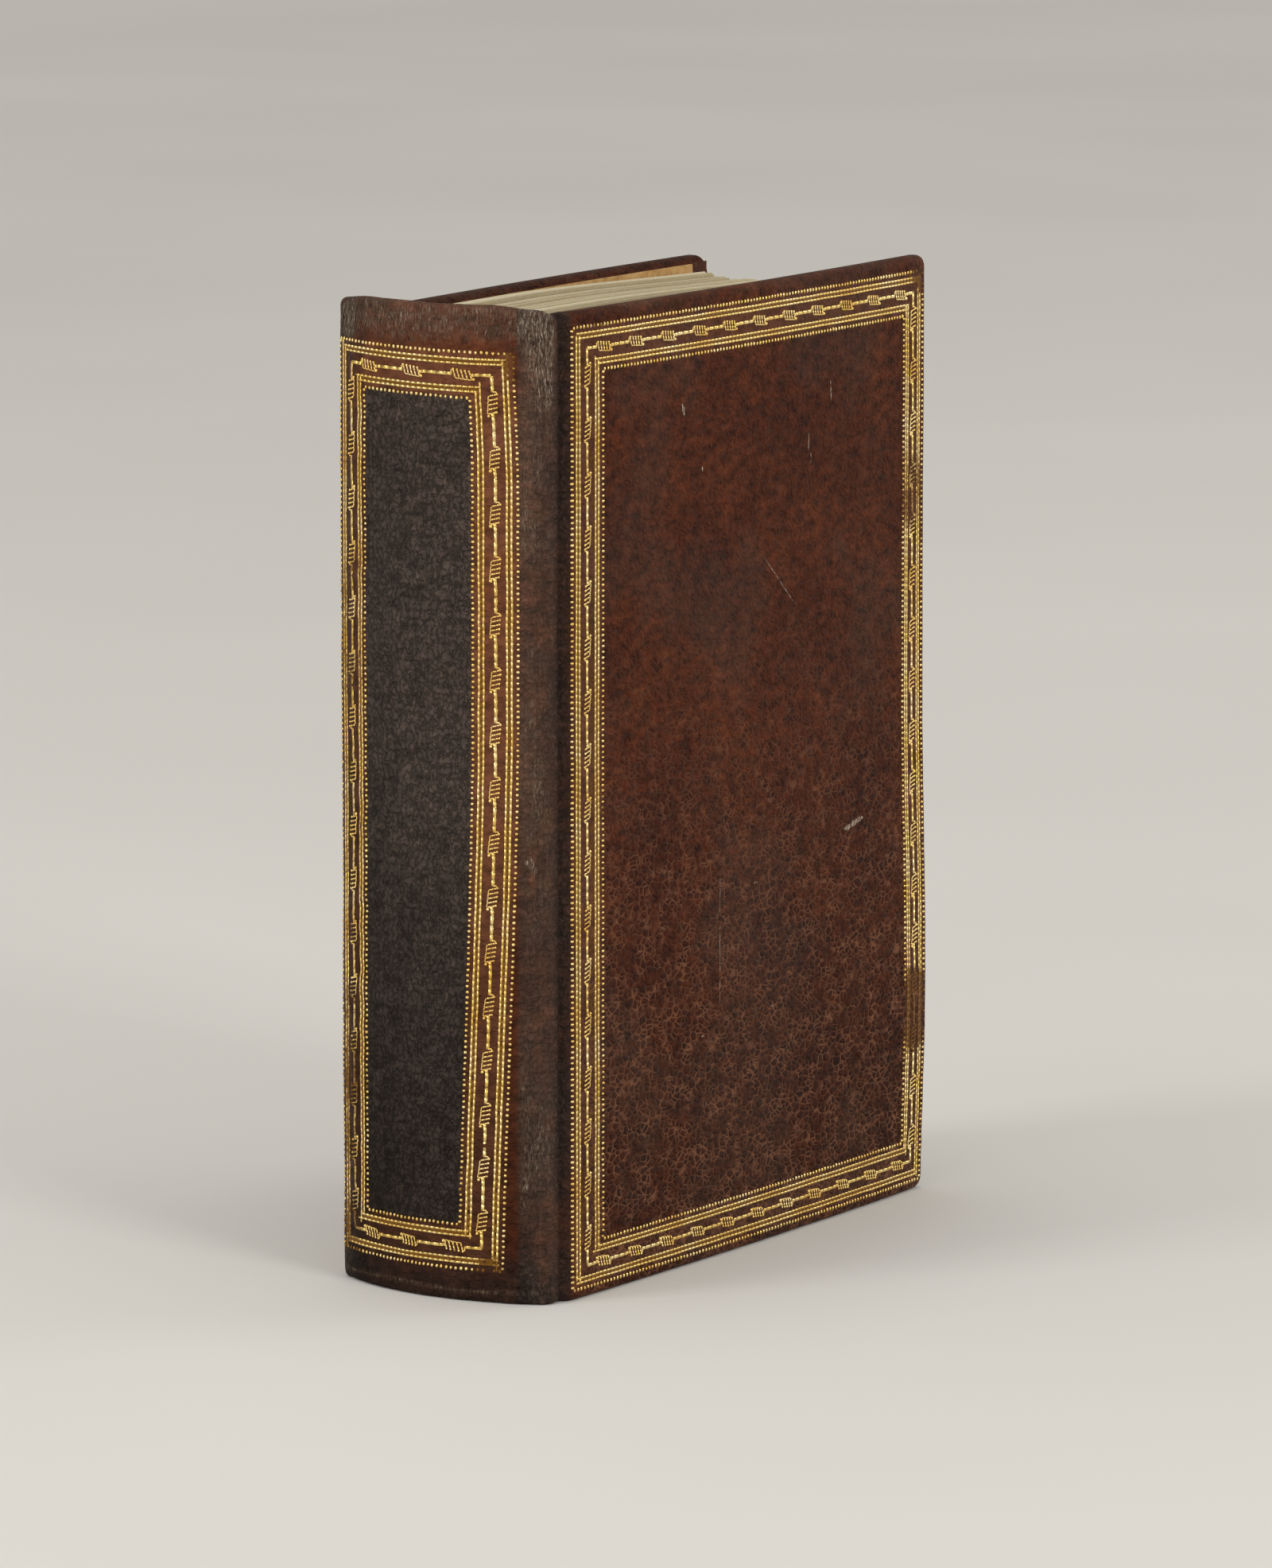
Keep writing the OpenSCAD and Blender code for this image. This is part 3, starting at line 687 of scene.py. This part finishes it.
def spine_leather():
    """The skin over the rounded back, drawn over the caps at head and tail and tucked in behind them."""
    step, radius, thick = 0.5, 1.2, 2.6
    u = np.arange(-seam_u - step, seam_u + step + 0.01, step)
    around = np.linspace(0, 1, 12)[1:]
    tuck = np.array([1.5, 3.0, 4.5])
    rows = int(cap_top / step)
    ends = len(around) + len(tuck)
    share = np.concatenate([np.zeros(ends), np.linspace(0, 1, rows), np.ones(ends)])
    over = np.concatenate([-np.ones(len(tuck)), -around[::-1], np.zeros(rows), around, np.ones(len(tuck))])
    down = np.concatenate([tuck[::-1], np.zeros(len(around) * 2 + rows), tuck])
    uu, shares = np.meshgrid(u, share, indexing="ij")
    over_edge, tucked = (np.meshgrid(u, x, indexing="ij")[1] for x in (over, down))
    high = cap_top - cap_fall * ease(14, 26, np.abs(uu)) + 0.25 * blotch(uu, uu * 0, 9, 1, 21.5)
    vv = radius + shares * (high - 2 * radius)
    reach, depth, run = edge_turn(np.abs(over_edge), thick, radius)
    point, normal = plan_at(uu)
    # At the seams it lies a little under the skins of the covers
    tucked_under = 0.18 * ease(seam_u - 0.1, seam_u + 0.35, np.abs(uu))
    lift = relief(uu, vv) * (1 - ease(0.3, 0.8, np.abs(over_edge))) - tucked_under
    xyz = np.zeros(uu.shape + (3,))
    xyz[..., :2] = point + normal * (lift - depth)[..., None]
    xyz[..., 2] = vv + np.sign(over_edge) * (reach - tucked)
    skin = np.stack([uu, vv + np.sign(over_edge) * (run + tucked), 0 * uu], -1)
    wear = wear_of(uu, vv + np.sign(over_edge) * reach)
    values = {"skin": skin.reshape(-1, 3), "wear": wear.reshape(-1, 4), "shade": painted_shade_of(uu, vv).ravel()}
    piece = make_piece("spine_skin", xyz.reshape(-1, 3), grid_faces(*uu.shape), cover_skin, values)
    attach(piece, "book_block")
    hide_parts("spine_leather")


# Gilding

def direction(a, b):
    """Length from a to b and the unit step that way."""
    length = math.hypot(b[0] - a[0], b[1] - a[1])
    return length, (b[0] - a[0]) / length, (b[1] - a[1]) / length


class Tooling:
    """Gold laid on the skin stroke by stroke, in the skin's own u and v."""

    def __init__(self, worn):
        self.u, self.v, self.h, self.rub, self.faces, self.worn = [], [], [], [], [], worn

    def wear(self, u, v):
        """How far the gold at a place has been handled away, 1 where none is left."""
        clouds, specks = noise.noise(Vector((u / 7, v / 7, 31.5))), noise.noise(Vector((u, v, 32.5)))
        amount = 0.13 + 0.3 * clouds + 0.12 * specks
        for centre, size, strength in self.worn:
            amount += strength * float(spot(u, v, centre, size))
        return amount

    def put(self, u, v, h, rub, faces):
        """Adds one closed stroke: its points, how worn it is, and its faces."""
        first = len(self.u)
        self.u += list(u)
        self.v += list(v)
        self.h += list(h)
        self.rub += [rub] * len(u)
        self.faces += [[first + k for k in face] for face in faces]

    def bar(self, a, b, width, height=0.09, extra=0.0):
        """A short straight bar of gold with a crowned top."""
        du, dv = b[0] - a[0], b[1] - a[1]
        length = math.hypot(du, dv) or 1e-6
        nu, nv = -dv / length * width / 2, du / length * width / 2
        rub = self.wear((a[0] + b[0]) / 2, (a[1] + b[1]) / 2)
        if rub > 1.6:
            return
        u, v, h = [], [], []
        for end in (a, b):
            for across, up in ((-1, gold_sunk), (-0.5, height), (0.5, height), (1, gold_sunk)):
                u.append(end[0] + nu * across)
                v.append(end[1] + nv * across)
                h.append(up)
        faces = [[0, 1, 5, 4], [1, 2, 6, 5], [2, 3, 7, 6], [3, 0, 4, 7], [0, 3, 2, 1], [4, 5, 6, 7]]
        self.put(u, v, h, rub + extra, faces)

    def stroke(self, path, width, height=0.09, extra=0.0):
        """Bars laid end to end along a path."""
        for a, b in zip(path, path[1:]):
            self.bar(a, b, width, height, extra)

    def line(self, a, b, width, height=0.09, extra=0.0, sway=0.07):
        """A long fillet line, a little unsteady as a hand rolls it."""
        length, eu, ev = direction(a, b)
        step, sway_length = 1.3, 9
        count = max(2, int(length / step))
        seed = chance.random() * 90
        path = []
        for k in range(count + 1):
            off = sway * noise.noise(Vector((k * step / sway_length, seed, 0.5)))
            path.append((a[0] + (b[0] - a[0]) * k / count - ev * off,
                         a[1] + (b[1] - a[1]) * k / count + eu * off))
        self.stroke(path, width, height, extra)

    def bead(self, u, v, along, radii):
        """One domed bead, its two radii along and across the way the roll went."""
        rub = self.wear(u, v) + chance.uniform(-0.12, 0.16)
        if rub > 0.9:
            return
        grow = chance.uniform(0.88, 1.12)
        us, vs, hs, sides = [], [], [], 8
        for ring, up in ((1.0, gold_sunk), (0.86, 0.12), (0.45, 0.24), (0.0, 0.27)):
            for k in range(sides if ring else 1):
                turn = 2 * math.pi * k / sides
                a, b = grow * ring * radii[0] * math.cos(turn), grow * ring * radii[1] * math.sin(turn)
                us.append(u + a * along[0] - b * along[1])
                vs.append(v + a * along[1] + b * along[0])
                hs.append(up)
        faces = []
        for r in range(2):
            for k in range(sides):
                this, after = r * sides + k, r * sides + (k + 1) % sides
                faces.append([this, after, after + sides, this + sides])
        faces += [[2 * sides + k, 2 * sides + (k + 1) % sides, 3 * sides] for k in range(sides)]
        faces.append(list(range(sides))[::-1])
        self.put(us, vs, hs, rub, faces)

    def beads(self, a, b, radii, pitch=1.12):
        """A row of beads from a to b."""
        length, eu, ev = direction(a, b)
        count = int(length / pitch)
        for k in range(count):
            at = (k + 0.5) / count
            self.bead(a[0] + (b[0] - a[0]) * at + chance.uniform(-0.05, 0.05),
                      a[1] + (b[1] - a[1]) * at + chance.uniform(-0.05, 0.05), (eu, ev), radii)

    def coils(self, a, b, pitch=11.2):
        """The roll of little coils on a stem: slanted bars on scallops, a hook before, a foot after."""
        length, eu, ev = direction(a, b)
        count = round(length / pitch)
        stem = length / count / 2
        stem_width, hook_width, bar_width, scallop_width = 0.88, 0.4, 0.42, 0.32
        bars, bar_pitch, lean, bar_half = 5, 0.9, 0.22, 0.85

        def place(x, y):
            return a[0] + eu * (middle + x) - ev * y, a[1] + ev * (middle + x) + eu * y

        for k in range(count):
            middle = (k + 0.5) * length / count + chance.uniform(-0.12, 0.12)
            self.stroke([place(-stem, 0.0), place(-3.6, 0.0), place(-2.3, 0.0)], stem_width)
            hook = [(-2.3, 0.05), (-2.45, 0.45), (-2.3, 0.8), (-1.95, 0.85)]
            self.stroke([place(*p) for p in hook], hook_width)
            for n in range(bars):
                x, y = -1.75 + bar_pitch * n, 0.1 - 0.08 * n
                head, foot = (x - lean, y + bar_half), (x + lean, y - bar_half)
                self.stroke([place(*head), place(x, y), place(*foot)], bar_width, 0.12)
                self.bead(*place(*head), (1, 0), (0.28, 0.28))
                if n < bars - 1:
                    scallop = [foot, (x + 0.75, y - 1.0), (x + 1.1, y - 0.93)]
                    self.stroke([place(*p) for p in scallop], scallop_width)
            self.bead(*place(2.45, -0.95), (1, 0), (0.38, 0.38))
            self.stroke([place(1.95, -0.2), place(2.5, -0.1), place(3.6, 0.0), place(stem, 0.0)], stem_width)

    def frame(self, corners, bead_radii):
        """The tooled frame: bead rows, pairs of fillets and the coil roll, untidy at the corners."""
        def sides(step):
            low_a, high_a, high_b, low_b = inset(corners, step)
            return [(low_a, high_a), (high_a, high_b), (high_b, low_b), (low_b, low_a)]

        for a, b in sides(0.0) + sides(gilt_border):
            self.beads(a, b, bead_radii)
        for step, width in fillet_rows:
            for a, b in sides(step):
                length, eu, ev = direction(a, b)
                before, after = chance.uniform(-0.4, 1.3), chance.uniform(-0.4, 1.3)
                start = (a[0] - eu * before, a[1] - ev * before)
                self.line(start, (b[0] + eu * after, b[1] + ev * after), width)
        for step in ribbon_rows:
            for a, b in sides(step):
                self.line(a, b, ribbon_width, height=0.02, extra=ribbon_wear, sway=0.0)
        for a, b in sides(coil_row):
            self.coils(a, b)

    def finish(self, name, body, node):
        """Lays the strokes on the skin and gives the piece to its body."""
        u, v, h = (np.array(x) for x in (self.u, self.v, self.h))
        u = u + spine_lean(u, v)
        xyz = laid(u, v, h)
        if body != "book_block":
            xyz = gaped(xyz, 1 if body == "front_cover" else -1)
        values = {"skin": np.column_stack([u, v, 0 * u]), "rubbed": np.clip(self.rub, 0, 1)}
        piece = make_piece(name, xyz, self.faces, gold, values)
        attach(piece, body)
        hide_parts(node)


# Leaves, boards and endbands

def slab(low, high, first=0):
    """A plate between two grids of points, the low one toward -X, closed round its rim: points and faces."""
    rows, columns = low.shape[:2]
    size = rows * columns
    faces = grid_faces(rows, columns, first, flip=True) + grid_faces(rows, columns, first + size)
    number = first + np.arange(2 * size).reshape(2, rows, columns)
    for rim, flip in ((number[:, :, -1], False), (number[:, :, 0], True),
                      (number[:, -1, :], True), (number[:, 0, :], False)):
        quads = np.stack([rim[0, :-1], rim[0, 1:], rim[1, 1:], rim[1, :-1]], 1)
        faces += (quads if flip else quads[:, ::-1]).tolist()
    return np.concatenate([low.reshape(-1, 3), high.reshape(-1, 3)]), faces


def text_leaves():
    """The block of vellum leaves, sewn in gatherings that lie unevenly and have sunk toward the fore-edge."""
    count = int(2 * back_half / (leaf_thickness + leaf_air))
    points, faces, skins, tones = [], [], [], []
    for k in range(count):
        in_gathering = k % leaves_in_gathering
        if in_gathering == 0:
            lift, back = chance.uniform(-0.7, 0.1), chance.uniform(0.0, 2.0)
            gathering_tone = chance.uniform(-0.3, 0.3)
        x0 = -back_half + (k + 0.5) * 2 * back_half / count
        x0 += gathering_gap * (0.5 - (in_gathering + 0.5) / leaves_in_gathering)
        hollow = hollow_depth * (1 - (x0 / block_half) ** 2) ** 0.9
        front = leaf_front_y - hollow - back - chance.uniform(0, 0.35)
        spine_y = spine_axis_y - math.sqrt(back_radius ** 2 - x0 * x0)
        yy, share = np.meshgrid(np.linspace(spine_y, front, 26), np.linspace(0, 1, 8), indexing="ij")
        outermost = in_gathering in (0, leaves_in_gathering - 1)
        top = leaf_top + lift - abs(chance.gauss(0, 0.15)) - 0.4 * outermost
        top = top + risen * ease(-67, -52, yy) - sunk * ease(-10, 80, yy)
        zz = leaf_low - 0.3 * lift + share * (top - leaf_low)
        # The leaves fill the bow of the boards and fan out a little toward the fore-edge
        spread = (bowed_x(yy) - board_x + 0.3 * cover_gape * (yy - hinge_y)) * ease(-66, -30, yy)
        wave = 0.22 * blotch(yy, zz, 38, 60, 41.5) * (1 - (x0 / back_half) ** 2) * ease(-60, -20, yy)
        xx = x0 * (1 + spread / back_half) + wave
        low, high = (np.stack([xx + face * leaf_thickness / 2, yy, zz], -1) for face in (-1, 1))
        leaf, leaf_faces = slab(low, high, len(tones))
        points.append(leaf)
        faces += leaf_faces
        skins += [(y + 7 * k, z, x) for x, y, z in leaf]
        # The outer leaves of each gathering get a darker tone: painted shade in the gaps between gatherings
        tones += [0.5 - 0.35 * outermost + gathering_tone + chance.uniform(-0.3, 0.3)] * len(leaf)
    piece = make_piece("vellum_leaves", np.concatenate(points), faces, vellum_skin,
                       {"skin": skins, "leaf": tones}, smooth=False)
    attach(piece, "book_block")
    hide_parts("text_block")


def plate(name, side, depths, front_y, heights, corner, stuff, node):
    """A board or pasted sheet in a cover, between two depths under its face, pared away under the groove."""
    round_start = front_y - corner
    columns = np.concatenate([np.linspace(board_back_y, pared_end_y, 10),
                              np.linspace(pared_end_y + 1, round_start, 40),
                              round_start + corner * np.sin(np.linspace(0, math.pi / 2, 8))[1:]])
    y, share = np.meshgrid(columns, np.linspace(0, 1, 24), indexing="ij")
    cut = corner - np.sqrt(corner ** 2 - np.clip(y - round_start, 0, corner) ** 2)
    z = heights[0] + cut + share * (heights[1] - heights[0] - 2 * cut)
    under_skin = np.interp(y, plan_points[:, 1], plan_points[:, 0]) - skin_depth
    outer = np.minimum(bowed_x(y) - depths[0], under_skin)
    inner = bowed_x(y) - depths[1]
    low, high = (inner, outer) if side > 0 else (-outer, -inner)
    points, faces = slab(np.stack([low, y, z], -1), np.stack([high, y, z], -1))
    piece = make_piece(name, gaped(points, side), faces, stuff, smooth=False)
    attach(piece, "front_cover" if side > 0 else "back_cover")
    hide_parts(node)


# Scratches and knocks on the front cover: from (y, z) to (y, z), and how wide
scuff_marks = [(-22.4, 178.2, -21.6, 175.6, 1.7), (33.1, 177.8, 33.4, 173.2, 0.5),
               (24.7, 167.3, 24.6, 163.8, 0.5), (25.6, 163.5, 25.5, 160.9, 0.4),
               (-15.2, 164.6, -15.2, 163.6, 0.9), (7.6, 143.5, 19.7, 132.2, 0.35),
               (38.8, 82.2, 46.4, 84.0, 2.2), (4.4, 76.1, 5.6, 76.1, 0.9), (10.6, 49.3, 11.8, 49.3, 0.8),
               (-15.1, 47.1, -14.1, 47.1, 0.8), (-8.5, 79.7, -8.4, 53.2, 0.25)]


def scuffs():
    """The marks on the front cover as low lenses of raised fibre."""
    us, vs, hs, faces = [], [], [], []
    steps, edge_sunk, crest = 14, -0.03, 0.05
    for y0, z0, y1, z1, width in scuff_marks:
        long_u, long_v = y1 - y0, z1 - z0
        length = math.hypot(long_u, long_v)
        first = len(us)
        for k in range(steps + 1):
            at = k / steps
            half = width / 2 * (0.04 + math.sqrt(max(0.0, 1 - (2 * at - 1) ** 2))) * chance.uniform(0.7, 1.1)
            for across, up in ((-half, edge_sunk), (0.0, crest), (half, edge_sunk)):
                us.append(face_u(y0) + long_u * at - long_v / length * across)
                vs.append(z0 + long_v * at + long_u / length * across)
                hs.append(up)
        for k in range(first, first + 3 * steps, 3):
            faces += [[k, k + 1, k + 4, k + 3], [k + 1, k + 2, k + 5, k + 4], [k + 2, k, k + 3, k + 5]]
        faces += [[first, first + 2, first + 1], [first + 3 * steps + k for k in (0, 1, 2)]]
    u, v, h = (np.array(x) for x in (us, vs, hs))
    values = {"skin": np.column_stack([u, v, 0 * u]), "wear": np.tile([1.8, 0.0, 0.0, 0.0], (len(u), 1)),
              "shade": np.ones(len(u))}
    piece = make_piece("front_scuffs", gaped(laid(u, v, h), 1), faces, cover_skin, values)
    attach(piece, "front_cover")


def endband(name, node, z):
    """Silk wound round a core along the rounded back, at height z."""
    turns, steps_a_turn, sides, core_radius, band_radius = 90, 6, 10, 1.0, 49.4
    spread = math.radians(25)
    points, faces = [], []
    n = turns * steps_a_turn
    for i in range(n + 1):
        angle = -spread + 2 * spread * i / n
        swell = core_radius * (1.0 + 0.1 * abs(math.sin(math.pi * i / steps_a_turn)))
        for k in range(sides):
            turn = 2 * math.pi * k / sides
            out = band_radius + swell * math.cos(turn)
            points.append((out * math.sin(angle), spine_axis_y - out * math.cos(angle),
                           z + swell * math.sin(turn)))
    for i in range(n):
        for k in range(sides):
            a, b = i * sides + k, i * sides + (k + 1) % sides
            faces.append([a, a + sides, b + sides, b])
    faces += [list(range(sides)), [n * sides + k for k in range(sides)][::-1]]
    piece = make_piece(name, points, faces, band_silk)
    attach(piece, "book_block")
    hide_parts(node)


cover_leather("front_cover_skin", 1, front_top, front_corner, "front_leather")
cover_leather("back_cover_skin", -1, back_top, back_corner, "back_leather")
spine_leather()
text_leaves()
for label, side, top, corner in (("front", 1, front_top, front_board_corner),
                                 ("back", -1, back_top, back_board_corner)):
    plate(label + "_pasteboard", side, (skin_depth, board_depth), fore_edge_y - skin_depth,
          (skin_depth, top - skin_depth), corner, pasteboard, label + "_board")
    plate(label + "_pasted_sheet", side, sheet_depths, sheet_front_y, (sheet_margin, top - sheet_margin),
          sheet_corner, pastedown_paper, label + "_pastedown")
scuffs()

# Places where the gold has been handled away: the centre, the size and how much
fore_u, outer_u, joint_u = face_u(66.5), face_u(70), face_u(-60)
front_gold = Tooling([((fore_u, 40), (9, 13), 1.0), ((fore_u, 152), (8, 12), 0.45),
                      ((outer_u, 196), (6, 6), 0.8), ((joint_u, 196), (4, 4), 0.2)])
front_gold.frame(front_frame, (0.31, 0.44))
front_gold.finish("front_gold", "front_cover", "front_gilding")
back_gold = Tooling([((-fore_u, 30), (7, 14), 0.6), ((-outer_u, 194), (6, 6), 0.7)])
back_gold.frame(back_frame, (0.31, 0.44))
back_gold.finish("back_gold", "back_cover", "back_gilding")
spine_gold = Tooling([((16, 6), (4, 6), 0.75), ((19, 190), (3, 6), 0.6), ((-23, 15), (6, 50), 0.35),
                      ((-21, 95), (9, 130), 0.2)])
spine_gold.frame(spine_frame, (0.33, 0.39))
spine_gold.finish("spine_gold", "book_block", "spine_gilding")
head_low, head_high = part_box("headband")
tail_low, tail_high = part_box("tailband")
endband("head_silk", "headband", (head_low.z + head_high.z) / 2 / MM)
endband("tail_silk", "tailband", (tail_low.z + tail_high.z) / 2 / MM)

sewing_thongs = [(f"sewing_support_{k}", thong_skin) for k in range(1, 5)]
for label, stuff in [("spine_lining", lining_cloth)] + sewing_thongs:
    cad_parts[label].data.materials.clear()
    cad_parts[label].data.materials.append(stuff)


# Floor, light and camera

def studio_floor():
    """A plain pale floor, wide enough to fill the picture from any side."""
    half = 15.0 / MM
    points = [(-half, -half, 0.0), (half, -half, 0.0), (half, half, 0.0), (-half, half, 0.0)]
    # Matt board, pale and very faintly mottled
    material, tree = start_material("floor_matt_pale")
    place = add(tree, "TexCoord").outputs["Object"]
    mottle = add(tree, "TexNoise", {"Vector": place, "Scale": 3.0, "Detail": 2.0})
    colour = add(tree, "ValToRGB", {"Fac": mottle}, [(0.3, "#d3d0ca"), (0.7, "#d8d5cf")])
    shader = add(tree, "BsdfPrincipled", {"Base Color": colour, "Roughness": 0.85, "Specular IOR Level": 0.1})
    add(tree, "OutputMaterial", {"Surface": shader})
    make_piece("floor", points, [[0, 1, 2, 3]], material)


def soft_lamp(name, place, size, power, aim=(0.0, 0.0, 0.1)):
    """A square soft lamp that faces the book."""
    lamp = bpy.data.lights.new(name, "AREA")
    lamp.size = size
    lamp.energy = power
    lamp_object = bpy.data.objects.new(name, lamp)
    lamp_object.location = place
    lamp_object.rotation_euler = (Vector(aim) - Vector(place)).to_track_quat("-Z", "Y").to_euler()
    bpy.context.scene.collection.objects.link(lamp_object)


studio_floor()
soft_lamp("lamp_left", (-0.9, -1.6, 1.3), 0.6, 11)
soft_lamp("lamp_low", (-0.2, -1.9, 0.45), 0.7, 7)
soft_lamp("lamp_right", (1.9, -0.6, 1.2), 0.6, 14)
soft_lamp("lamp_behind", (1.4, 1.7, 0.6), 1.0, 12)
overhead = bpy.data.lights.new("lamp_above", "SUN")
overhead.energy = 0.75
overhead.angle = math.radians(40)
bpy.context.scene.collection.objects.link(bpy.data.objects.new("lamp_above", overhead))
world = bpy.data.worlds.new("studio")
world.use_nodes = True
world.node_tree.nodes["Background"].inputs["Color"].default_value = paint("#f2efea")
world.node_tree.nodes["Background"].inputs["Strength"].default_value = 0.5
bpy.context.scene.world = world

# The camera was fitted to the photo; its focal length and shift are in the photo's pixels
view_azimuth, view_elevation = math.radians(33.2), math.radians(9.35)
view_target, view_distance = Vector((-1.8, -4.7, 100.0)) * MM, 1.789
photo_height, focal_pixels, shift_right, shift_down = 1972, 10901, 41, 29
sensor = 36.0
camera = bpy.data.cameras.new("camera")
camera.lens = focal_pixels / photo_height * sensor
camera.sensor_width = sensor
camera.shift_x = shift_right / photo_height
camera.shift_y = -shift_down / photo_height
camera.clip_end = 50
camera_object = bpy.data.objects.new("camera", camera)
toward_camera = Vector((math.sin(view_azimuth) * math.cos(view_elevation),
                        -math.cos(view_azimuth) * math.cos(view_elevation), math.sin(view_elevation)))
camera_object.location = view_target + toward_camera * view_distance
camera_object.rotation_euler = (-toward_camera).to_track_quat("-Z", "Y").to_euler()
bpy.context.scene.collection.objects.link(camera_object)
bpy.context.scene.camera = camera_object
bpy.context.scene.view_settings.view_transform = "Standard"
